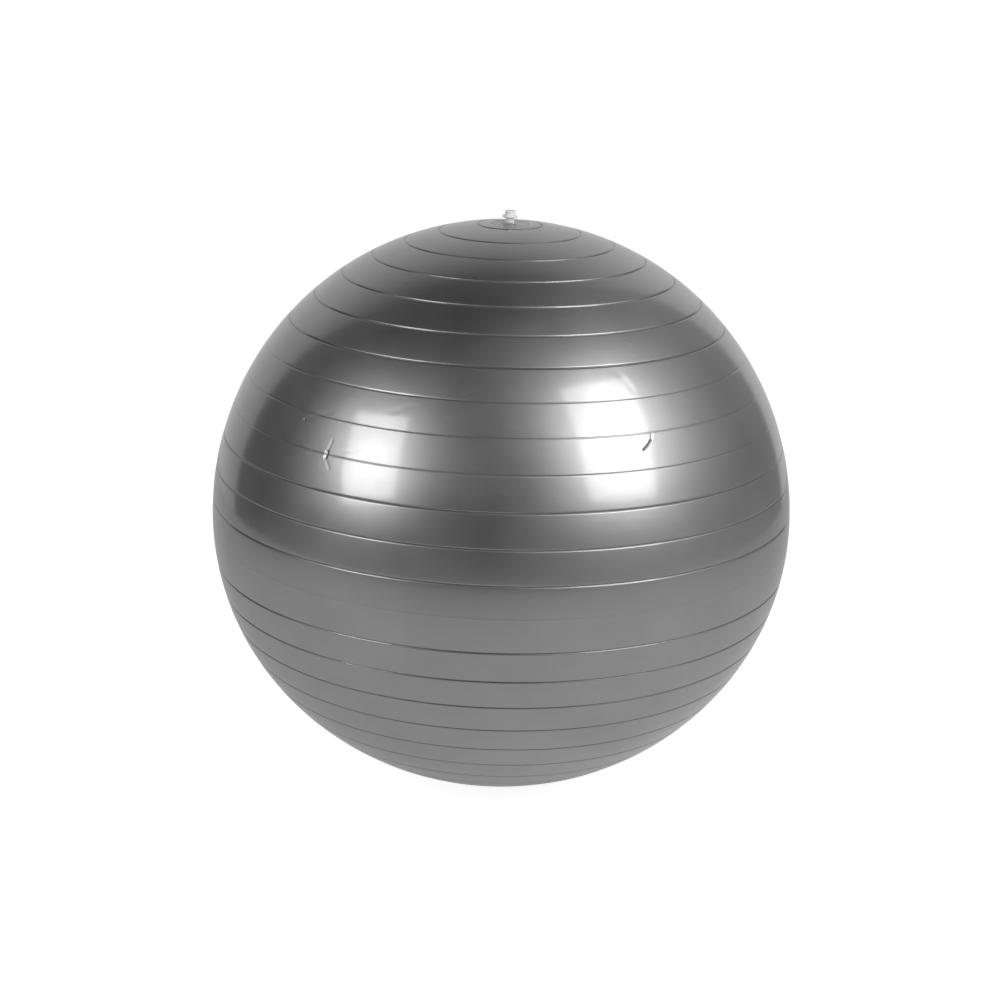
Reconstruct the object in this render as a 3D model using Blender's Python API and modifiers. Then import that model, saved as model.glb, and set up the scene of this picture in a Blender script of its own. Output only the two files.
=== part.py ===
"""Inflatable exercise ball, 65 cm: a ringed PVC skin, the valve seat moulded into its top pole, and the air plug.

The ball stands on the flat patch that its own weight presses into the skin. The origin is the centre of that
patch and +Z runs up the ball's axis, through the valve.
"""

import math

import bpy

# Skin, in metres
BALL_RADIUS = 0.325
CROWN_HEIGHT = 0.329  # from the widest level up to the upper pole
BELLY_DEPTH = 0.308  # from the widest level down to where the lower pole would be
FOOT_RADIUS = 0.055  # the flat patch on the floor
SKIN_WALL = 0.001

# Ring grooves, counted from their own pole. Inflation stretches the skin most at the poles,
# so each groove's angle is step * count, less shrink * count squared.
UPPER_GROOVES = 13
UPPER_GROOVE_STEP = math.radians(6.95)
LOWER_GROOVES = 12
LOWER_GROOVE_STEP = math.radians(7.0)
GROOVE_SHRINK = math.radians(0.024)
GROOVE_HALF_WIDTH = 0.0012
GROOVE_DEPTH = 0.0008
VALVE_RING_RADIUS = 0.035  # the first groove, which frames the valve

# Valve seat
SEAT_RADIUS = 0.020
SEAT_THICKNESS = 0.0034
COLLAR_RADIUS = 0.0095
COLLAR_RISE = 0.0006
FLANGE_OVERLAP = 0.008  # how far the bonding flange reaches under the skin
FLANGE_THICKNESS = 0.0015
BORE_RADIUS = 0.0049
STEM_WALL = 0.0031
STEM_LENGTH = 0.024
EDGE_EASE = 0.0005

# Air plug
PLUG_STANDOFF = 0.005  # the head stands this far off the collar when the plug is pushed in by hand
PLUG_HEAD_RADIUS = 0.0082
PLUG_HEAD_THICKNESS = 0.0028
KNOB_RADIUS = 0.0056
KNOB_HEIGHT = 0.0050
SHANK_LENGTH = 0.0260  # below the head
NECK_LENGTH = 0.0110  # the plain stretch of the shank under the head
RING_COUNT = 3
RING_WIDTH = 0.0020
RING_RELIEF = 0.0006  # how far the shank lies below its rings
TIP_LENGTH = 0.0030
TIP_RADIUS = 0.0030

CLEARANCE = 0.0003
SEGMENTS = 36
ARC_POINTS = 4
MERGE_DISTANCE = 1e-5


def foot_angle():
    """Angle at the lower pole where the belly meets the floor."""
    return math.asin(FOOT_RADIUS / BALL_RADIUS)


WIDEST_LEVEL = BELLY_DEPTH * math.cos(foot_angle())
POLE_LEVEL = WIDEST_LEVEL + CROWN_HEIGHT


def skin_point(angle, inset=0.0):
    """(radius, height) on the skin at an angle from the upper pole, moved inwards square to the surface."""
    semi_height = CROWN_HEIGHT if angle <= math.pi / 2 else BELLY_DEPTH
    radius = BALL_RADIUS * math.sin(angle)
    height = semi_height * math.cos(angle)
    normal_radius = radius / BALL_RADIUS**2
    normal_height = height / semi_height**2
    length = math.hypot(normal_radius, normal_height)
    return (
        radius - inset * normal_radius / length,
        WIDEST_LEVEL + height - inset * normal_height / length,
    )


def crown_level(radius):
    """Height of the upper skin over a given radius."""
    return WIDEST_LEVEL + CROWN_HEIGHT * math.sqrt(1 - (radius / BALL_RADIUS) ** 2)


def groove_angles():
    """Angles of all the grooves from the upper pole, top to bottom."""
    upper = [UPPER_GROOVE_STEP * n - GROOVE_SHRINK * n**2 for n in range(2, UPPER_GROOVES + 1)]
    lower = [LOWER_GROOVE_STEP * n - GROOVE_SHRINK * n**2 for n in range(LOWER_GROOVES, 0, -1)]
    lowest = math.pi - foot_angle() - 2 * GROOVE_HALF_WIDTH / BALL_RADIUS
    valve_ring = math.asin(VALVE_RING_RADIUS / BALL_RADIUS)
    return [valve_ring] + upper + [math.pi - a for a in lower if math.pi - a < lowest]


def arc(centre, radius, start, end, points=ARC_POINTS):
    """Points of a circular arc in the profile plane; angles in degrees from +X towards +Z."""
    found = []
    for n in range(points):
        angle = math.radians(start + (end - start) * n / (points - 1))
        found.append((centre[0] + radius * math.cos(angle), centre[1] + radius * math.sin(angle)))
    return found


def named_collection(name):
    collection = bpy.data.collections.new(name)
    bpy.context.scene.collection.children.link(collection)
    return collection


def plastic(name, colour, roughness, metallic=0.0):
    material = bpy.data.materials.new(name)
    material.use_nodes = True
    shader = material.node_tree.nodes["Principled BSDF"]
    shader.inputs["Base Color"].default_value = (*colour, 1.0)
    shader.inputs["Roughness"].default_value = roughness
    shader.inputs["Metallic"].default_value = metallic
    return material


def turned(name, profile, collection, material, closed_loop):
    """A body of revolution about Z. Its profile runs down the outer side."""
    mesh = bpy.data.meshes.new(name)
    edges = [(n, n + 1) for n in range(len(profile) - 1)]
    if closed_loop:
        edges.append((len(profile) - 1, 0))
    mesh.from_pydata([(radius, 0.0, height) for radius, height in profile], edges, [])
    body = bpy.data.objects.new(name, mesh)
    body.data.materials.append(material)
    collection.objects.link(body)
    screw = body.modifiers.new("Turn", "SCREW")
    screw.axis = "Z"
    screw.steps = SEGMENTS
    screw.render_steps = SEGMENTS
    screw.use_merge_vertices = True
    screw.merge_threshold = MERGE_DISTANCE
    screw.use_smooth_shade = True
    return body


def skin_profile():
    """The skin's outer face from the valve opening down to the centre of the foot."""
    opening = math.asin((SEAT_RADIUS + CLEARANCE) / BALL_RADIUS)
    half_angle = GROOVE_HALF_WIDTH / BALL_RADIUS
    profile = [skin_point(opening)]
    above = opening
    for angle in groove_angles():
        # The wide plain band is the only one that crosses the widest level, and it needs its own crown.
        if above < math.pi / 2 < angle:
            profile.append(skin_point(math.pi / 2))
        profile.append(skin_point(angle - half_angle))
        profile.append(skin_point(angle, GROOVE_DEPTH))
        profile.append(skin_point(angle + half_angle))
        above = angle
    profile.append((FOOT_RADIUS, 0.0))
    profile.append((0.0, 0.0))
    return profile


def make_skin(collection):
    material = plastic("skin_grey", (0.27, 0.27, 0.28), 0.28, 0.35)
    skin = turned("ball_skin", skin_profile(), collection, material, False)
    wall = skin.modifiers.new("Wall", "SOLIDIFY")
    wall.thickness = SKIN_WALL
    wall.offset = -1.0
    wall.use_even_offset = True
    return skin


def seat_profile():
    """The seat as one loop about its bore: top face, edge, bonding flange, stem and bore, from the collar outwards."""
    stem_radius = BORE_RADIUS + STEM_WALL
    flange_radius = SEAT_RADIUS + FLANGE_OVERLAP
    collar_top = POLE_LEVEL + COLLAR_RISE
    under_skin = crown_level(SEAT_RADIUS) - SKIN_WALL - 2 * CLEARANCE
    flange_rim = crown_level(flange_radius) - SKIN_WALL - 2 * CLEARANCE
    stem_end = POLE_LEVEL - STEM_LENGTH
    rim_level = crown_level(SEAT_RADIUS)
    return [
        (BORE_RADIUS + EDGE_EASE, collar_top),
        *arc((COLLAR_RADIUS - EDGE_EASE, collar_top - EDGE_EASE), EDGE_EASE, 90, 20),
        (COLLAR_RADIUS + EDGE_EASE, crown_level(COLLAR_RADIUS)),
        *arc((SEAT_RADIUS - EDGE_EASE, rim_level - EDGE_EASE), EDGE_EASE, 85, 0),
        (SEAT_RADIUS, under_skin),
        (flange_radius, flange_rim),
        (flange_radius, flange_rim - FLANGE_THICKNESS),
        (stem_radius + SEAT_THICKNESS / 2, POLE_LEVEL - SEAT_THICKNESS),
        (stem_radius, POLE_LEVEL - 1.5 * SEAT_THICKNESS),
        (stem_radius, stem_end + EDGE_EASE),
        (stem_radius - EDGE_EASE, stem_end),
        (BORE_RADIUS, stem_end),
        (BORE_RADIUS, collar_top - EDGE_EASE),
    ]


def make_seat(collection):
    material = plastic("seat_grey", (0.30, 0.30, 0.31), 0.35)
    profile = [(radius, height - POLE_LEVEL) for radius, height in seat_profile()]
    seat = turned("valve_seat", profile, collection, material, True)
    seat.location = (0.0, 0.0, POLE_LEVEL)
    return seat


def plug_profile():
    """The plug about its head's underside: knob, head, neck, ringed shank and tip."""
    ring_radius = BORE_RADIUS - CLEARANCE
    shank_radius = ring_radius - RING_RELIEF
    head_ease = PLUG_HEAD_THICKNESS / 2
    knob_top = PLUG_HEAD_THICKNESS + KNOB_HEIGHT
    ring_stretch = SHANK_LENGTH - NECK_LENGTH - TIP_LENGTH
    pitch = ring_stretch / RING_COUNT
    profile = [
        (0.0, knob_top),
        *arc((KNOB_RADIUS - head_ease, knob_top - head_ease), head_ease, 90, 0),
        (KNOB_RADIUS, PLUG_HEAD_THICKNESS),
        *arc((PLUG_HEAD_RADIUS - head_ease, head_ease), head_ease, 90, -60, 6),
        (PLUG_HEAD_RADIUS - head_ease, 0.0),
        (ring_radius, 0.0),
        (ring_radius, -NECK_LENGTH),
    ]
    for n in range(RING_COUNT):
        top = -NECK_LENGTH - pitch * n
        ring_top = top - pitch + RING_WIDTH
        profile.append((shank_radius, top - RING_RELIEF))
        profile.append((shank_radius, ring_top + RING_RELIEF))
        profile.append((ring_radius, ring_top))
        profile.append((ring_radius, top - pitch))
    profile.append((TIP_RADIUS, -SHANK_LENGTH))
    profile.append((0.0, -SHANK_LENGTH))
    return profile


def make_plug(collection):
    material = plastic("plug_white", (0.86, 0.86, 0.85), 0.42)
    plug = turned("air_plug", plug_profile(), collection, material, False)
    plug.location = (0.0, 0.0, POLE_LEVEL + COLLAR_RISE + PLUG_STANDOFF)
    return plug


def main():
    for old in list(bpy.data.objects):
        bpy.data.objects.remove(old)
    collection = named_collection("exercise_ball")
    make_skin(collection)
    make_seat(collection)
    make_plug(collection)


main()
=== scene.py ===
"""Looks for the inflatable exercise ball: fine meshes for its skin, valve seat and plug, and the studio."""

import math

import bmesh
import bpy
import numpy as np
from mathutils import Matrix, Vector, noise


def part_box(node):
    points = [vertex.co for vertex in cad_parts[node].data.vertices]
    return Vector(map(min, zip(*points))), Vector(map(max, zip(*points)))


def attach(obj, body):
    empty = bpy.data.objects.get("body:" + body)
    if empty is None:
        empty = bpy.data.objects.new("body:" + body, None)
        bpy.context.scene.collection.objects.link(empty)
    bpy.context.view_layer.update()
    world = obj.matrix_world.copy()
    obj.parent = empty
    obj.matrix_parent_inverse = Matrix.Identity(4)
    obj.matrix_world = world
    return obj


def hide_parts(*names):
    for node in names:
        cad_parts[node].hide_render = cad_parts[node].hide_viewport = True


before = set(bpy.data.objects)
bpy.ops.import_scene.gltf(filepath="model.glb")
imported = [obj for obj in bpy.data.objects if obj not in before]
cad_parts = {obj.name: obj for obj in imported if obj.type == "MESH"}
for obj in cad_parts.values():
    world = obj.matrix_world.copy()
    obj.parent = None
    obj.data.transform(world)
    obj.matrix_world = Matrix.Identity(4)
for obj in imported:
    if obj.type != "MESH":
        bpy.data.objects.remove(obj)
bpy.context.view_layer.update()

# The pieces' shapes, in metres. Outer sizes come from the frame, and the rest follows the CAD model, apart
# from the grooves, which are rounded here, and the skin's hidden inner face.
SKIN_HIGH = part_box("ball_skin")[1]
SEAT_LOW, SEAT_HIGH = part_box("valve_seat")
PLUG_LOW, PLUG_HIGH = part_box("air_plug")
BALL_RADIUS = SKIN_HIGH.x
CROWN_HEIGHT = 0.329
BELLY_DEPTH = 0.308
FOOT_RADIUS = 0.055
FOOT_BLEND = 0.0012  # height over which the belly runs into the floor patch
INNER_FACE = 0.0022  # depth of the skin's inner face, which clears the deepest groove
WIDEST_LEVEL = BELLY_DEPTH * math.sqrt(1 - (FOOT_RADIUS / BALL_RADIUS) ** 2)
POLE_LEVEL = WIDEST_LEVEL + CROWN_HEIGHT

UPPER_GROOVES = 13
UPPER_GROOVE_STEP = math.radians(6.95)
LOWER_GROOVES = 12
LOWER_GROOVE_STEP = math.radians(7.0)
GROOVE_SHRINK = math.radians(0.024)
GROOVE_HALF_WIDTH = 0.0017
GROOVE_DEPTH = 0.00055
VALVE_RING_RADIUS = 0.035
VALVE_RING_DEPTH = 0.0012
CORE_DEPTH = 0.0004  # a narrower cut along the bottom of each groove
CORE_HALF_WIDTH = 0.0005
FAINT_FROM, FAINT_TO = math.radians(50), math.radians(70)  # the rings between these angles are fainter
FAINT_STRENGTH = 0.35
BAND_SWELL = 0.00010  # how far each band bulges between its grooves
SWELL_REACH = 0.009
PARTING_ANGLE = math.radians(92.5)  # the mould's parting line, on the wide middle band
PARTING_HALF_WIDTH = 0.0006
PARTING_HEIGHT = 0.00010
UNDULATION = 0.00010
UNDULATION_LENGTH = 0.070
UNDULATION_START = 8  # its growth per radian from the valve opening

FLANGE_REACH = 0.008  # how far the hidden flange reaches under the skin
SEAT_RADIUS = SEAT_HIGH.x - FLANGE_REACH
CLEARANCE = 0.0003
LIP_RADIUS = 0.0009  # rounding of the skin's edge and the seat's edge, which face each other
COLLAR_RADIUS = 0.0095
COLLAR_EASE = 0.0005
COLLAR_FOOT_SHARE = 0.35  # the height of the collar's foot over the crown, as a share of the ease
BORE_EDGE_SHARE = 0.3  # the bore's rounded edge passes this share of the ease in from its corner
DISH_DEPTH = 0.0006
DISH_MARGIN = 1.8 * LIP_RADIUS
DISH_POINTS = 16
DISH_FULLNESS = 0.8  # below 1, the dish is fuller than a sine
FLANGE_THICKNESS = 0.0015
SEAT_THICKNESS = 0.0034
BORE_RADIUS = 0.0049
STEM_WALL = 0.0031
STEM_RADIUS = BORE_RADIUS + STEM_WALL

SHANK_LENGTH = 0.026
PLUG_LEVEL = PLUG_LOW.z + SHANK_LENGTH  # the head's underside
PLUG_HEAD_RADIUS = PLUG_HIGH.x
PLUG_HEAD_THICKNESS = 0.0028
KNOB_RADIUS = 0.0056
KNOB_HEIGHT = PLUG_HIGH.z - PLUG_LEVEL - PLUG_HEAD_THICKNESS
RING_RADIUS = BORE_RADIUS - CLEARANCE
RING_RELIEF = 0.0006
NECK_LENGTH = 0.011
RING_COUNT = 3
RING_WIDTH = 0.002
TIP_RADIUS = 0.003
TIP_LENGTH = 0.003
TIP_CHAMFER = 0.0004
PLUG_FILLET = 0.0007
# The gate mark in the knob's top, as (radius, depth).
GATE_MARK = ((0.0, 0.0004), (0.0009, 0.0004), (0.0013, 0.0001), (0.0022, 0.0))

# Mesh
COLUMNS = 180
# Mesh rows across a groove and across the parting line, in half-widths of each.
GROOVE_ROWS = (-1.25, -0.9, -0.6, -0.36, -0.18, 0.0, 0.18, 0.36, 0.6, 0.9, 1.25)
PARTING_ROWS = (-3.0, -1.5, -0.75, 0.0, 0.75, 1.5, 3.0)
PARTING_CLEARANCE = 4  # half-widths of the parting line kept free of the band's own rows
BAND_ROW_STEP = math.radians(1.35)
FOOT_ROWS = 16
LIP_ROWS = 6
INNER_ROWS = 40
LATHE_SEGMENTS = 144
SHARP_ANGLE = math.radians(50)

# Dents, creases and scuffs from handling: points as (around, from the upper pole) in degrees, then half-width
# and depth in metres. Around 0 faces -Y, and + turns towards +X. A negative depth stands out.
MARKS = {
    "star_dent": ([(-36.5, 67.6), (-36.4, 66.7)], 0.0022, 0.0007),
    "star_arm_up": ([(-36.4, 66.7), (-35.9, 64.6)], 0.0020, 0.00016),
    "star_arm_across": ([(-36.4, 66.7), (-33.0, 66.0), (-29.5, 65.2)], 0.0024, 0.00012),
    "star_arm_down": ([(-36.5, 67.6), (-35.0, 69.4)], 0.0022, 0.00012),
    "pit": ([(-45.2, 62.1), (-45.0, 62.2)], 0.0014, 0.0004),
    "pit_smear": ([(-44.5, 61.9), (-38.3, 59.6)], 0.0030, 0.00010),
    "nail_mark": ([(28.9, 63.5), (30.1, 62.8), (31.0, 62.0)], 0.0012, 0.0010),
    "nail_tail": ([(31.0, 62.0), (31.6, 60.9)], 0.0011, 0.0004),
    "right_crease": ([(25.6, 47.5), (27.9, 49.6), (29.8, 52.5)], 0.0050, 0.00007),
    "left_crease": ([(-24.4, 57.6), (-19.9, 55.9)], 0.0040, 0.00007),
    "rim_crease": ([(81.3, 47.0), (85.7, 44.0)], 0.0034, 0.00022),
    "smear": ([(21.6, 68.4), (22.6, 68.1)], 0.0018, 0.00012),
    "pimple_left": ([(-40.2, 30.5), (-40.1, 30.6)], 0.0009, -0.0005),
    "pimple_right": ([(34.3, 43.3), (34.4, 43.4)], 0.0008, -0.0003),
    "pimple_low": ([(34.2, 45.6), (34.3, 45.7)], 0.0008, -0.0003),
    "back_crease": ([(158.0, 71.0), (163.0, 68.5), (167.0, 63.5)], 0.0034, 0.00016),
    "back_pit": ([(-148.0, 101.0), (-147.8, 101.2)], 0.0018, 0.0004),
}
RAISED_SHARE = 0.7  # how strongly a mark's edge stands up beside it
DARK_MARKS = ("nail_mark",)  # these get painted shade, almost black, along their line
MARK_PAINTED_SHADE_SHARE = 0.7  # width of the painted shade along a dark mark, as a share of the mark's
SHADE_SHARE = 0.5  # width of the painted shade along a groove, as a share of the groove's
FINE_REACH = 0.006  # the mesh is fine this far around a mark's own reach
FINE_COLUMNS = 10  # parts that a coarse column is cut into there
FINE_HEIGHT = 0.0008
FINE_WIDTHS = 2.5  # a mark's own reach, in half-widths

# Camera
CAMERA_DISTANCE = 2.35
CAMERA_ELEVATION = math.radians(17.17)
CAMERA_ROLL = math.radians(1.75)
CAMERA_LENS = 74.4
SENSOR_WIDTH = 36.0
AIM_SIDE = -0.0017
AIM_RISE = 0.0125  # the camera aims this far over the widest level
AIM = Vector((AIM_SIDE, 0.0, WIDEST_LEVEL + AIM_RISE))


def groove_angles():
    """Angles of the ring grooves from the upper pole, top to bottom."""
    upper = [UPPER_GROOVE_STEP * n - GROOVE_SHRINK * n**2 for n in range(2, UPPER_GROOVES + 1)]
    lower = [LOWER_GROOVE_STEP * n - GROOVE_SHRINK * n**2 for n in range(LOWER_GROOVES, 1, -1)]
    return [math.asin(VALVE_RING_RADIUS / BALL_RADIUS)] + upper + [math.pi - a for a in lower]


GROOVES = np.array(groove_angles())
GROOVE_STRENGTHS = np.where((GROOVES > FAINT_FROM) & (GROOVES < FAINT_TO), FAINT_STRENGTH, 1.0)
GROOVE_DEPTHS = np.array([VALVE_RING_DEPTH] + [GROOVE_DEPTH] * (len(GROOVES) - 1)) * GROOVE_STRENGTHS
OPENING = math.asin((SEAT_RADIUS + CLEARANCE) / BALL_RADIUS)


def skin_rows():
    """(angle, depth) of each mesh row: up the inner face, over the edge at the valve, down the outer face.

    Rows lie close together across each groove and the parting line, and wider over the bands.
    """
    half = GROOVE_HALF_WIDTH / BALL_RADIUS
    inside = math.pi - OPENING
    rows = [(math.pi - inside * n / INNER_ROWS, INNER_FACE) for n in range(1, INNER_ROWS + 1)]
    for n in range(LIP_ROWS + 1):
        turn = math.pi / 2 * n / LIP_ROWS
        along, under = LIP_RADIUS * (1 - math.cos(turn)), LIP_RADIUS * (1 - math.sin(turn))
        rows.append((OPENING + along / BALL_RADIUS, under))
    for groove in GROOVES:
        above = rows[-1][0]
        top = groove + half * GROOVE_ROWS[0]
        steps = max(2, round((top - above) / BAND_ROW_STEP))
        band = [above + (top - above) * n / steps for n in range(1, steps)]
        if above < PARTING_ANGLE < groove:
            line = PARTING_HALF_WIDTH / BALL_RADIUS
            band = [a for a in band if abs(a - PARTING_ANGLE) > PARTING_CLEARANCE * line]
            band += [PARTING_ANGLE + line * x for x in PARTING_ROWS]
            band.sort()
        rows += [(angle, 0.0) for angle in band]
        rows += [(groove + half * x, 0.0) for x in GROOVE_ROWS]
    above = rows[-1][0]
    rows += [(above + (math.pi - above) * n / FOOT_ROWS, 0.0) for n in range(1, FOOT_ROWS)]
    return rows


def groove_lift(angle):
    """How far the ring grooves sink the skin and the bands between them swell."""
    gaps = np.abs(angle[:, None] - GROOVES[None, :]) * BALL_RADIUS
    gap = gaps.min(axis=1)
    nearest = gaps.argmin(axis=1)
    depth = GROOVE_DEPTHS[nearest]
    sunk = np.where(gap < GROOVE_HALF_WIDTH, 0.5 + 0.5 * np.cos(math.pi * gap / GROOVE_HALF_WIDTH), 0.0)
    core = CORE_DEPTH * GROOVE_STRENGTHS[nearest] * np.exp(-((gap / CORE_HALF_WIDTH) ** 2))
    swell = BAND_SWELL * (1 - np.exp(-((gap / SWELL_REACH) ** 2)))
    parting = np.exp(-(((angle - PARTING_ANGLE) * BALL_RADIUS / PARTING_HALF_WIDTH) ** 2))
    return swell - BAND_SWELL - depth * sunk - core + PARTING_HEIGHT * parting


def groove_shade(angle):
    """How much painted shade darkens the skin: 1 at the bottom of a groove, less in the faint ones, 0
    outside.
    """
    gaps = np.abs(angle[:, None] - GROOVES[None, :]) * BALL_RADIUS
    gap = gaps.min(axis=1)
    return GROOVE_STRENGTHS[gaps.argmin(axis=1)] * np.exp(-((gap / (SHADE_SHARE * GROOVE_HALF_WIDTH)) ** 2))


def mark_distance(around, angle, line):
    """Distance over the skin, in metres, from each (around, angle) to a mark's line."""
    nearest = np.full(len(around), 1e9)
    scale = BALL_RADIUS * np.sin(angle)
    for (a0, b0), (a1, b1) in zip(line, line[1:]):
        x, y = (around - math.radians(a0)) * scale, (angle - math.radians(b0)) * BALL_RADIUS
        dx, dy = math.radians(a1 - a0) * scale, math.radians(b1 - b0) * BALL_RADIUS
        along = np.clip((x * dx + y * dy) / (dx * dx + dy * dy), 0, 1)
        nearest = np.minimum(nearest, np.hypot(x - along * dx, y - along * dy))
    return nearest


def mark_lift(around, angle):
    """How far the marks press the skin in, with the slight lip that a pressed skin raises beside them."""
    lift = np.zeros(len(around))
    for line, half_width, depth in MARKS.values():
        square = (mark_distance(around, angle, line) / half_width) ** 2
        lift -= depth * (1 - RAISED_SHARE * square) * np.exp(-square)
    return lift


def mark_shade(around, angle):
    """1 along the marks that get painted shade, 0 away from them."""
    shade = np.zeros(len(around))
    for name in DARK_MARKS:
        line, half_width, _ = MARKS[name]
        share = mark_distance(around, angle, line) / (MARK_PAINTED_SHADE_SHARE * half_width)
        shade = np.maximum(shade, np.exp(-(share**2)))
    return shade


def undulation(points):
    """The slow waviness of a blown-up skin."""
    return np.array([noise.noise(Vector(p) / UNDULATION_LENGTH) for p in points]) * UNDULATION


def smooth_floor(height):
    """Lets the belly run into the floor patch without a crease."""
    blended = (height + FOOT_BLEND) ** 2 / (4 * FOOT_BLEND)
    return np.where(height > FOOT_BLEND, height, np.where(height < -FOOT_BLEND, 0.0, blended))


def skin_surface(around, angle, depth, lift):
    """World points of the skin at (around, angle), at a depth under its outer face and pushed out by lift."""
    semi = np.where(angle <= math.pi / 2, CROWN_HEIGHT, BELLY_DEPTH)
    radius = BALL_RADIUS * np.sin(angle)
    height = semi * np.cos(angle)
    slope_r, slope_z = radius / BALL_RADIUS**2, height / semi**2
    length = np.hypot(slope_r, slope_z)
    outwards = lift - depth
    radius = radius + outwards * slope_r / length
    height = depth + smooth_floor(WIDEST_LEVEL + height + outwards * slope_z / length - depth)
    return np.stack([radius * np.sin(around), -radius * np.cos(around), height], axis=1)


def near_marks(rows, turns):
    """Which faces of the coarse grid lie near a mark."""
    angles = np.array([angle for angle, _ in rows])
    outer = np.array([depth == 0 for _, depth in rows])
    middle = np.repeat((angles[:-1] + angles[1:]) / 2, COLUMNS)
    around = np.tile(turns + math.pi / COLUMNS, len(rows) - 1)
    near = np.zeros(len(middle), bool)
    for line, half_width, _ in MARKS.values():
        near |= mark_distance(around, middle, line) < FINE_WIDTHS * half_width + FINE_REACH
    return near.reshape(-1, COLUMNS) & outer[:-1, None] & outer[1:, None]


class SkinLayout:
    """The skin laid out as a grid of (around, angle, depth), with finer faces near the marks."""

    def __init__(self):
        self.rows = skin_rows()
        self.turns = np.array([math.pi * (2 * c / COLUMNS - 1) for c in range(COLUMNS)])
        self.fine = near_marks(self.rows, self.turns)
        steps = [abs(low[0] - high[0]) * BALL_RADIUS for high, low in zip(self.rows, self.rows[1:])]
        self.cuts = [max(1, math.ceil(step / FINE_HEIGHT)) for step in steps]
        self.numbers, self.places, self.faces = {}, [], []
        for r in range(len(self.rows) - 1):
            for c in range(COLUMNS):
                if self.fine[r, c]:
                    self.add_fine(r, c)
                else:
                    self.add_coarse(r, c)
        last = len(self.rows) - 1
        inner_end, outer_end = len(self.places), len(self.places) + 1
        self.places += [(0.0, math.pi, INNER_FACE), (0.0, math.pi, 0.0)]
        for c in range(COLUMNS):
            self.faces.append((inner_end, self.vertex(0, 0, c, 0), self.vertex(0, 0, c + 1, 0)))
            self.faces.append((self.vertex(last, 0, c, 0), outer_end, self.vertex(last, 0, c + 1, 0)))

    def vertex(self, r, i, c, j):
        """The number of the vertex i cuts below row r and j cuts past column c."""
        if i and i == self.cuts[r]:
            r, i = r + 1, 0
        if j == FINE_COLUMNS:
            c, j = c + 1, 0
        key = (r, i, c % COLUMNS, j)
        if key not in self.numbers:
            self.numbers[key] = len(self.places)
            angle, depth = self.rows[r]
            if i:
                angle += (self.rows[r + 1][0] - angle) * i / self.cuts[r]
            turn = self.turns[c % COLUMNS] + 2 * math.pi / COLUMNS * j / FINE_COLUMNS
            self.places.append((turn, angle, depth))
        return self.numbers[key]

    def add_fine(self, r, c):
        """A coarse face cut into a grid of fine ones."""
        for i in range(self.cuts[r]):
            for j in range(FINE_COLUMNS):
                corners = ((i, j), (i + 1, j), (i + 1, j + 1), (i, j + 1))
                self.faces.append([self.vertex(r, x, c, y) for x, y in corners])

    def add_coarse(self, r, c):
        """One face, which takes in its fine neighbours' vertices along the edges that it shares with them."""
        down, across = range(1, self.cuts[r]), range(1, FINE_COLUMNS)
        face = [self.vertex(r, 0, c, 0)]
        if self.fine[r, c - 1]:
            face += [self.vertex(r, i, c, 0) for i in down]
        face.append(self.vertex(r + 1, 0, c, 0))
        if r + 1 < len(self.fine) and self.fine[r + 1, c]:
            face += [self.vertex(r + 1, 0, c, j) for j in across]
        face.append(self.vertex(r + 1, 0, c + 1, 0))
        if self.fine[r, (c + 1) % COLUMNS]:
            face += [self.vertex(r, i, c + 1, 0) for i in reversed(down)]
        face.append(self.vertex(r, 0, c + 1, 0))
        if r and self.fine[r - 1, c]:
            face += [self.vertex(r, 0, c, j) for j in reversed(across)]
        self.faces.append(face)


def make_skin():
    """The skin as one closed shell, wrapped from its layout onto the ball."""
    layout = SkinLayout()
    around, angle, depth = np.array(layout.places).T
    outer = depth == 0
    lift = np.where(depth < INNER_FACE, groove_lift(angle) + mark_lift(around, angle), 0.0)
    smooth = skin_surface(around, angle, depth, lift)
    fade = np.clip((angle - OPENING) * UNDULATION_START, 0, 1)
    lift = lift + np.where(outer, undulation(smooth) * fade, 0.0)
    points = skin_surface(around, angle, depth, lift)
    mesh = bpy.data.meshes.new("inflated_skin")
    mesh.from_pydata(points.tolist(), [], layout.faces)
    mesh.update()
    # Masks for painted shade: along the grooves' bottoms, and along the dark marks.
    for name, shade in (("groove", groove_shade(angle)), ("mark_painted_shade", mark_shade(around, angle))):
        attribute = mesh.attributes.new(name, "FLOAT", "POINT")
        attribute.data.foreach_set("value", np.where(outer, shade, 0.0).astype(np.float32))
    return place("inflated_skin", mesh)


def place(name, mesh):
    """A smooth-shaded object for the mesh, linked to the scene."""
    mesh.shade_smooth()
    piece = bpy.data.objects.new(name, mesh)
    bpy.context.scene.collection.objects.link(piece)
    return piece


def lathe(name, profile):
    """A turned piece from (radius, height) points, listed down its outer side.

    Where no point is on the axis, the points close into a loop.
    """
    turned = bmesh.new()
    rings = []
    for radius, height in profile:
        if radius == 0.0:
            rings.append([turned.verts.new((0, 0, height))] * LATHE_SEGMENTS)
            continue
        ring = []
        for c in range(LATHE_SEGMENTS):
            turn = 2 * math.pi * c / LATHE_SEGMENTS
            ring.append(turned.verts.new((radius * math.sin(turn), -radius * math.cos(turn), height)))
        rings.append(ring)
    pairs = list(zip(rings, rings[1:]))
    if profile[0][0] > 0:
        pairs.append((rings[-1], rings[0]))
    for upper, lower in pairs:
        for c in range(LATHE_SEGMENTS):
            d = (c + 1) % LATHE_SEGMENTS
            corners = list(dict.fromkeys((upper[c], lower[c], lower[d], upper[d])))
            turned.faces.new(corners)
    bmesh.ops.recalc_face_normals(turned, faces=turned.faces)
    mesh = bpy.data.meshes.new(name)
    turned.to_mesh(mesh)
    turned.free()
    piece = place(name, mesh)
    mesh.set_sharp_from_angle(angle=SHARP_ANGLE)
    return piece


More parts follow.
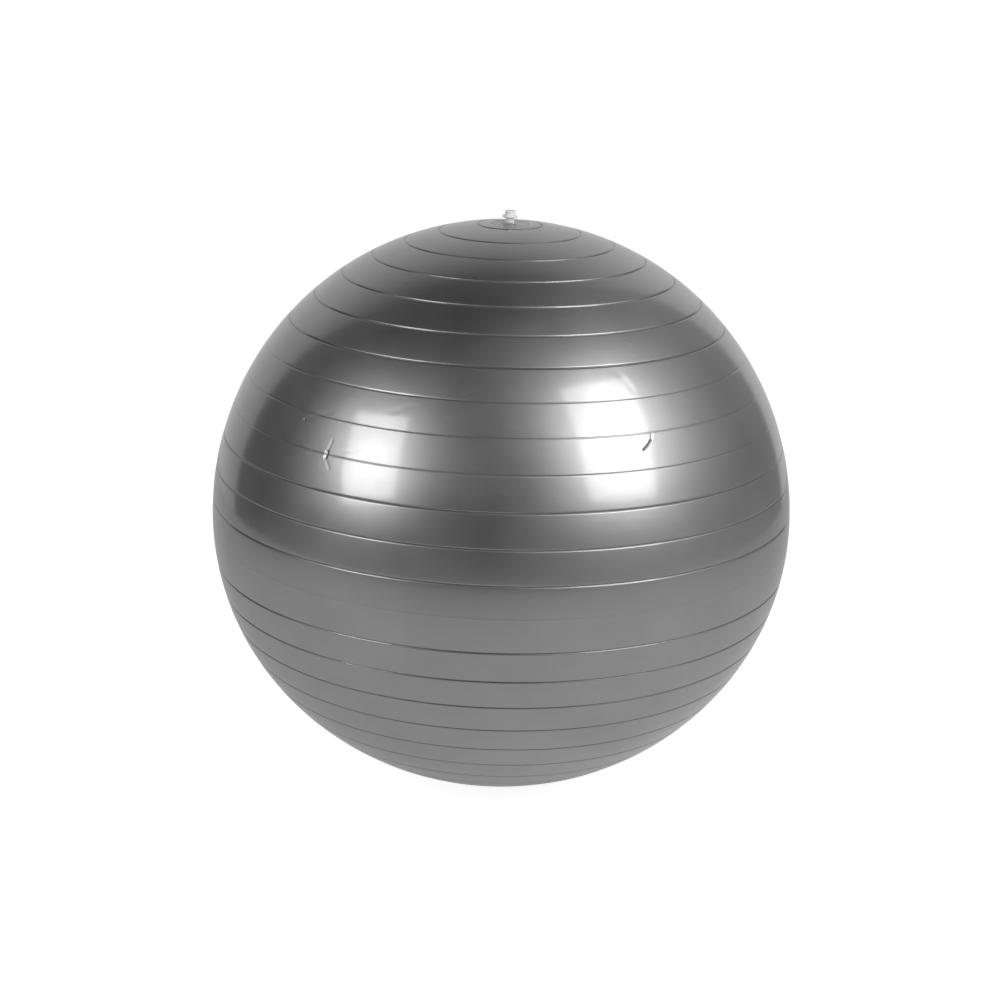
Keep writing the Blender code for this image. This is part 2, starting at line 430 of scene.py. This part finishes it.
def arc(centre, radius, start, end, points=7):
    """Points of a circular arc in the profile plane; angles in degrees from +X towards +Z."""
    turns = [math.radians(start + (end - start) * n / (points - 1)) for n in range(points)]
    return [(centre[0] + radius * math.cos(t), centre[1] + radius * math.sin(t)) for t in turns]


def crown_level(radius):
    """Height of the upper skin over a given radius."""
    return WIDEST_LEVEL + CROWN_HEIGHT * math.sqrt(1 - (radius / BALL_RADIUS) ** 2)


def make_seat():
    """The seat: collar and dished face outside, and the flange and the bored stem inside the ball."""
    collar_top = SEAT_HIGH.z
    flange_radius = SEAT_HIGH.x
    rim_level = crown_level(SEAT_RADIUS)
    dish_inner, dish_outer = COLLAR_RADIUS + 2 * COLLAR_EASE, SEAT_RADIUS - DISH_MARGIN
    dish = []
    for n in range(DISH_POINTS + 1):
        share = n / DISH_POINTS
        radius = dish_inner + (dish_outer - dish_inner) * share
        dish.append((radius, crown_level(radius) - DISH_DEPTH * math.sin(math.pi * share) ** DISH_FULLNESS))
    foot = (COLLAR_RADIUS + COLLAR_EASE, crown_level(COLLAR_RADIUS) + COLLAR_EASE * COLLAR_FOOT_SHARE)
    profile = [
        (BORE_RADIUS + COLLAR_EASE, collar_top),
        *arc((COLLAR_RADIUS - COLLAR_EASE, collar_top - COLLAR_EASE), COLLAR_EASE, 90, 10),
        foot,
        *dish,
        *arc((SEAT_RADIUS - LIP_RADIUS, rim_level - LIP_RADIUS), LIP_RADIUS, 88, 0),
        (SEAT_RADIUS, rim_level - INNER_FACE - CLEARANCE),
        (flange_radius, crown_level(flange_radius) - INNER_FACE - CLEARANCE),
        (flange_radius, crown_level(flange_radius) - INNER_FACE - CLEARANCE - FLANGE_THICKNESS),
        (STEM_RADIUS + SEAT_THICKNESS / 2, POLE_LEVEL - SEAT_THICKNESS),
        (STEM_RADIUS, POLE_LEVEL - 1.5 * SEAT_THICKNESS),
        *arc((STEM_RADIUS - COLLAR_EASE, SEAT_LOW.z + COLLAR_EASE), COLLAR_EASE, 0, -90),
        (BORE_RADIUS, SEAT_LOW.z),
        (BORE_RADIUS, collar_top - COLLAR_EASE),
        (BORE_RADIUS + BORE_EDGE_SHARE * COLLAR_EASE, collar_top - BORE_EDGE_SHARE * COLLAR_EASE),
    ]
    return lathe("valve_seat_ring", profile)


def make_plug():
    """The plug: knob, head and neck outside, and a ringed shank with a tip in the bore."""
    head_ease = PLUG_HEAD_THICKNESS / 2
    knob_top = PLUG_LEVEL + PLUG_HEAD_THICKNESS + KNOB_HEIGHT
    head_top = PLUG_LEVEL + PLUG_HEAD_THICKNESS
    pitch = (PLUG_LEVEL - PLUG_LOW.z - NECK_LENGTH - TIP_LENGTH) / RING_COUNT
    fillet = PLUG_FILLET
    profile = [
        *[(radius, knob_top - depth) for radius, depth in GATE_MARK],
        *arc((KNOB_RADIUS - head_ease, knob_top - head_ease), head_ease, 90, 0, 9),
        *arc((KNOB_RADIUS + fillet, head_top + fillet), fillet, 180, 270, 5),
        *arc((PLUG_HEAD_RADIUS - head_ease, PLUG_LEVEL + head_ease), head_ease, 90, -90, 15),
        *arc((RING_RADIUS + fillet, PLUG_LEVEL - fillet), fillet, 90, 180, 5),
        (RING_RADIUS, PLUG_LEVEL - NECK_LENGTH),
    ]
    relief = RING_RELIEF
    shank = RING_RADIUS - relief
    for n in range(RING_COUNT):
        top = PLUG_LEVEL - NECK_LENGTH - pitch * n
        ring_top = top - pitch + RING_WIDTH
        profile += [(shank, top - relief), (shank, ring_top + relief)]
        profile += arc((RING_RADIUS - relief / 2, ring_top - relief / 2), relief / 2, 90, 0, 4)
        profile.append((RING_RADIUS, top - pitch))
    tip = PLUG_LOW.z
    profile += [(TIP_RADIUS + TIP_CHAMFER, tip + TIP_CHAMFER), (TIP_RADIUS, tip), (0.0, tip)]
    return lathe("air_plug_body", profile)


class Graph:
    """Short calls for building a node tree."""

    def __init__(self, tree):
        self.nodes, self.links = tree.nodes, tree.links

    def feed(self, socket, value):
        """Links the value where it is a socket, or else sets it on the socket itself."""
        if isinstance(value, bpy.types.NodeSocket):
            self.links.new(value, socket)
        else:
            socket.default_value = value

    def node(self, kind, settings=None, **inputs):
        made = self.nodes.new("ShaderNode" + kind)
        for key, value in (settings or {}).items():
            setattr(made, key, value)
        for key, value in inputs.items():
            self.feed(made.inputs[key.replace("_", " ")], value)
        return made

    def math(self, operation, a, b=0.0):
        made = self.nodes.new("ShaderNodeMath")
        made.operation = operation
        self.feed(made.inputs[0], a)
        self.feed(made.inputs[1], b)
        return made.outputs[0]

    def ramp(self, value, low, high, start=0.0, end=1.0, smooth=True):
        made = self.nodes.new("ShaderNodeMapRange")
        made.interpolation_type = "SMOOTHSTEP" if smooth else "LINEAR"
        self.feed(made.inputs["Value"], value)
        for key, number in (("From Min", low), ("From Max", high), ("To Min", start), ("To Max", end)):
            made.inputs[key].default_value = number
        return made.outputs[0]

    def noise(self, scale, detail=2.0, stretch=None):
        """Noise over the object's own coordinates, in cells per metre."""
        where = self.nodes.new("ShaderNodeTexCoord").outputs["Object"]
        if stretch:
            where = self.node("Mapping", Vector=where, Scale=stretch).outputs[0]
        return self.node("TexNoise", Vector=where, Scale=scale, Detail=detail).outputs["Fac"]

    def mix(self, factor, a, b):
        made = self.nodes.new("ShaderNodeMix")
        made.data_type = "RGBA"
        self.feed(made.inputs["Factor"], factor)
        self.feed(made.inputs["A"], a)
        self.feed(made.inputs["B"], b)
        return made.outputs["Result"]


def material_graph(name):
    """A new material, the calls that build its node tree, and its shader node."""
    material = bpy.data.materials.new(name)
    material.use_nodes = True
    return material, Graph(material.node_tree), material.node_tree.nodes["Principled BSDF"]


def grey(level, warmth=0.0):
    return (level * (1 + warmth), level, level * (1 - warmth), 1)


# Materials
SKIN_BASE = 0.35
SKIN_FLAKE = 1.5  # a flake's brightness, as a share of the base
SKIN_SHADE = 0.3  # brightness of the painted shade in the grooves, as a share of the base
# brightness of the painted shade along the dark marks
MARK_PAINTED_SHADE_LEVEL = 0.01
# how strongly the painted shade darkens the grooves' bottoms
GROOVE_PAINTED_SHADE = 0.75
SKIN_ROUGHNESS = 0.43
SKIN_COAT = 1.0
SKIN_COAT_ROUGHNESS = 0.11
SKIN_COAT_IOR = 1.5
SEAT_METALLIC = 0.6
PLUG_SUBSURFACE = 0.15
PLUG_SUBSURFACE_DEPTH = 0.002


def skin_material():
    """Silver-grey PVC: a metallic pigment under a clear gloss, cloudy and scuffed, with painted shade in the
    grooves and along the dark marks.
    """
    material, graph, shader = material_graph("silver_pvc")
    cloud = graph.ramp(graph.noise(9, 5), 0.35, 0.65)
    flake = graph.ramp(graph.noise(1300, 1), 0.3, 0.7)
    scuff = graph.ramp(graph.noise(60, 5, (1, 1, 7)), 0.60, 0.74)
    tone = graph.mix(cloud, grey(SKIN_BASE * 0.95), grey(SKIN_BASE * 1.04, -0.003))
    tone = graph.mix(graph.math("MULTIPLY", flake, 0.10), tone, grey(SKIN_BASE * SKIN_FLAKE))
    # Painted shade along the grooves' bottoms darkens the base colour.
    groove = graph.node("Attribute", {"attribute_name": "groove"}).outputs["Fac"]
    tone = graph.mix(graph.math("MULTIPLY", groove, GROOVE_PAINTED_SHADE), tone, grey(SKIN_BASE * SKIN_SHADE))
    # Painted shade, almost black, along the dark marks.
    mark_painted_shade = graph.node("Attribute", {"attribute_name": "mark_painted_shade"}).outputs["Fac"]
    tone = graph.mix(mark_painted_shade, tone, grey(MARK_PAINTED_SHADE_LEVEL))
    graph.feed(shader.inputs["Base Color"], tone)
    rough = graph.ramp(graph.noise(16, 3), 0.3, 0.7, SKIN_ROUGHNESS - 0.02, SKIN_ROUGHNESS + 0.02)
    rough = graph.math("ADD", rough, graph.math("MULTIPLY", scuff, 0.05))
    rough = graph.math("ADD", rough, graph.math("MULTIPLY", groove, 0.15))
    graph.feed(shader.inputs["Roughness"], rough)
    shader.inputs["Metallic"].default_value = 1.0
    shader.inputs["Coat Weight"].default_value = SKIN_COAT
    shader.inputs["Coat Roughness"].default_value = SKIN_COAT_ROUGHNESS
    shader.inputs["Coat IOR"].default_value = SKIN_COAT_IOR
    grain = graph.node("Bump", Height=graph.noise(900, 2), Distance=0.00002, Strength=0.3)
    ripple = graph.noise(110, 2)
    peel = graph.node("Bump", Height=ripple, Distance=0.00008, Strength=0.3, Normal=grain.outputs[0])
    streaks = graph.noise(22, 4, (1, 1, 9))
    drawn = graph.node("Bump", Height=streaks, Distance=0.00025, Strength=0.3, Normal=peel.outputs[0])
    graph.feed(shader.inputs["Normal"], drawn.outputs[0])
    return material


def seat_material():
    """Plain moulded PVC, a little lighter and smoother than the skin."""
    material, graph, shader = material_graph("seat_pvc")
    cloud = graph.noise(90, 3)
    graph.feed(shader.inputs["Base Color"], graph.mix(cloud, grey(0.42), grey(0.50)))
    graph.feed(shader.inputs["Roughness"], graph.ramp(graph.noise(240, 2), 0.3, 0.7, 0.24, 0.32))
    shader.inputs["Metallic"].default_value = SEAT_METALLIC
    grain = graph.node("Bump", Height=graph.noise(1500, 2), Distance=0.00003, Strength=0.3)
    graph.feed(shader.inputs["Normal"], grain.outputs[0])
    return material


def plug_material():
    """White polyethylene with a satin face, faintly mottled by its mould."""
    material, graph, shader = material_graph("plug_plastic")
    cloud = graph.noise(160, 3)
    graph.feed(shader.inputs["Base Color"], graph.mix(cloud, grey(0.91, 0.004), grey(0.95, 0.002)))
    graph.feed(shader.inputs["Roughness"], graph.ramp(graph.noise(400, 2), 0.3, 0.7, 0.38, 0.46))
    shader.inputs["Subsurface Weight"].default_value = PLUG_SUBSURFACE
    shader.inputs["Subsurface Scale"].default_value = PLUG_SUBSURFACE_DEPTH
    grain = graph.node("Bump", Height=graph.noise(2500, 2), Distance=0.00002, Strength=0.3)
    graph.feed(shader.inputs["Normal"], grain.outputs[0])
    return material


# Studio, where around 0 is the camera's side and + turns towards +X.
ROOM_STRENGTH = 0.02
WHITE_STRENGTH = 1.0  # what the camera sees behind the ball
# The pale wall behind the ball fades over these slopes: sideways, upwards and away from +Y.
WALL_STRENGTH = 0.55
WALL_LEFT = (-1.45, -1.25)
WALL_RIGHT = (0.62, 0.78)
WALL_TOP = (0.4, 2.2)
WALL_EDGE = (0.02, 0.1)
# Pale patches of the room: around, elevation, inner and outer angle in degrees, strength.
PATCHES = {
    "spill_right": (55, 37, 15, 60, 0.17),
    "window": (105, 15, 20, 70, 0.225),
    "ceiling_front": (0, 55, 10, 45, 0.03),
}
FLOOR_GLOW = 0.262
FLOOR_SEEN_GLOW = 0.9  # the camera's own view of the floor, which is white in the photo
FLOOR_ALBEDO = 0.5
FLOOR_RADIUS = 1.7
# Around, elevation and roll in degrees, width and height in metres, power in watts.
SOFTBOXES = {
    "softbox_left": (-52.5, 26, 15, 0.66, 0.88, 10.5),
    "softbox_right": (49, 35.5, -10, 0.86, 1.30, 18),
}
SOFTBOX_DISTANCE = 1.8


def direction(around, elevation):
    """Unit vector from the ball at (around, elevation) in degrees."""
    a, e = math.radians(around), math.radians(elevation)
    return Vector((math.sin(a) * math.cos(e), -math.cos(a) * math.cos(e), math.sin(e)))


def make_world():
    """A dim room with a pale wall and pale patches in reflections, and plain white to the camera."""
    world = bpy.data.worlds.new("studio")
    bpy.context.scene.world = world
    world.use_nodes = True
    world.node_tree.nodes.clear()
    graph = Graph(world.node_tree)
    toward = graph.nodes.new("ShaderNodeTexCoord").outputs["Generated"]
    x, y, z = graph.node("SeparateXYZ", Vector=toward).outputs
    depth = graph.math("MAXIMUM", y, WALL_EDGE[0])
    across = graph.math("DIVIDE", x, depth)
    up = graph.math("DIVIDE", z, depth)
    left, right = graph.ramp(across, *WALL_LEFT), graph.ramp(across, *WALL_RIGHT, 1.0, 0.0)
    wall = graph.math("MULTIPLY", left, right)
    wall = graph.math("MULTIPLY", wall, graph.ramp(up, *WALL_TOP, 1.0, 0.0))
    wall = graph.math("MULTIPLY", wall, graph.ramp(y, *WALL_EDGE))
    level = graph.math("ADD", graph.math("MULTIPLY", wall, WALL_STRENGTH), ROOM_STRENGTH)
    for around, elevation, inner, outer, strength in PATCHES.values():
        aim = graph.nodes.new("ShaderNodeVectorMath")
        aim.operation = "DOT_PRODUCT"
        graph.feed(aim.inputs[0], toward)
        aim.inputs[1].default_value = direction(around, elevation)
        edge, core = math.cos(math.radians(outer)), math.cos(math.radians(inner))
        level = graph.math("ADD", level, graph.ramp(aim.outputs["Value"], edge, core, 0.0, strength))
    room = graph.node("Background", Strength=level)
    room.inputs["Color"].default_value = grey(1.0)
    white = graph.node("Background", Strength=WHITE_STRENGTH)
    white.inputs["Color"].default_value = grey(1.0)
    mix = graph.node("MixShader", Fac=graph.nodes.new("ShaderNodeLightPath").outputs["Is Camera Ray"])
    graph.feed(mix.inputs[1], room.outputs[0])
    graph.feed(mix.inputs[2], white.outputs[0])
    graph.feed(graph.nodes.new("ShaderNodeOutputWorld").inputs[0], mix.outputs[0])


def softbox(name, around, elevation, roll, width, height, power):
    """A rectangular light that faces the ball, rolled about the line to it."""
    way = direction(around, elevation)
    light = bpy.data.lights.new(name, "AREA")
    light.shape = "RECTANGLE"
    light.size = width
    light.size_y = height
    light.energy = power
    lamp = bpy.data.objects.new(name, light)
    lamp.location = Vector((0, 0, WIDEST_LEVEL)) + way * SOFTBOX_DISTANCE
    turn = way.to_track_quat("Z", "Y").to_matrix()
    lamp.rotation_euler = (turn @ Matrix.Rotation(math.radians(roll), 3, "Z")).to_euler()
    lamp.visible_camera = False
    bpy.context.scene.collection.objects.link(lamp)


def make_floor():
    """A pale floor, which looks almost white to the camera and glows less onto the ball."""
    bpy.ops.mesh.primitive_circle_add(vertices=128, radius=FLOOR_RADIUS, fill_type="NGON", location=(0, 0, 0))
    floor = bpy.context.object
    floor.name = "floor"
    material, graph, shader = material_graph("pale_floor")
    shader.inputs["Base Color"].default_value = grey(FLOOR_ALBEDO)
    shader.inputs["Roughness"].default_value = 1.0
    shader.inputs["Specular IOR Level"].default_value = 0.0
    shader.inputs["Emission Color"].default_value = grey(1.0)
    seen = graph.nodes.new("ShaderNodeLightPath").outputs["Is Camera Ray"]
    graph.feed(shader.inputs["Emission Strength"], graph.ramp(seen, 0.0, 1.0, FLOOR_GLOW, FLOOR_SEEN_GLOW))
    floor.data.materials.append(material)


def make_camera():
    data = bpy.data.cameras.new("camera")
    data.lens = CAMERA_LENS
    data.sensor_width = SENSOR_WIDTH
    camera = bpy.data.objects.new("camera", data)
    back = Vector((0, -math.cos(CAMERA_ELEVATION), math.sin(CAMERA_ELEVATION)))
    camera.location = Vector((0, 0, WIDEST_LEVEL)) + back * CAMERA_DISTANCE
    turn = (AIM - camera.location).to_track_quat("-Z", "Y").to_matrix()
    camera.rotation_euler = (turn @ Matrix.Rotation(CAMERA_ROLL, 3, "Z")).to_euler()
    bpy.context.scene.collection.objects.link(camera)
    bpy.context.scene.camera = camera


def finish_piece(piece, material, body, node):
    """Gives a piece its material, puts it under its body's empty, and hides the frame's node that it stands
    for.
    """
    piece.data.materials.append(material)
    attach(piece, body)
    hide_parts(node)


make_camera()
finish_piece(make_skin(), skin_material(), "ball", "ball_skin")
finish_piece(make_seat(), seat_material(), "ball", "valve_seat")
finish_piece(make_plug(), plug_material(), "plug", "air_plug")
make_world()
make_floor()
for softbox_name, placing in SOFTBOXES.items():
    softbox(softbox_name, *placing)
bpy.context.scene.view_settings.view_transform = "Standard"
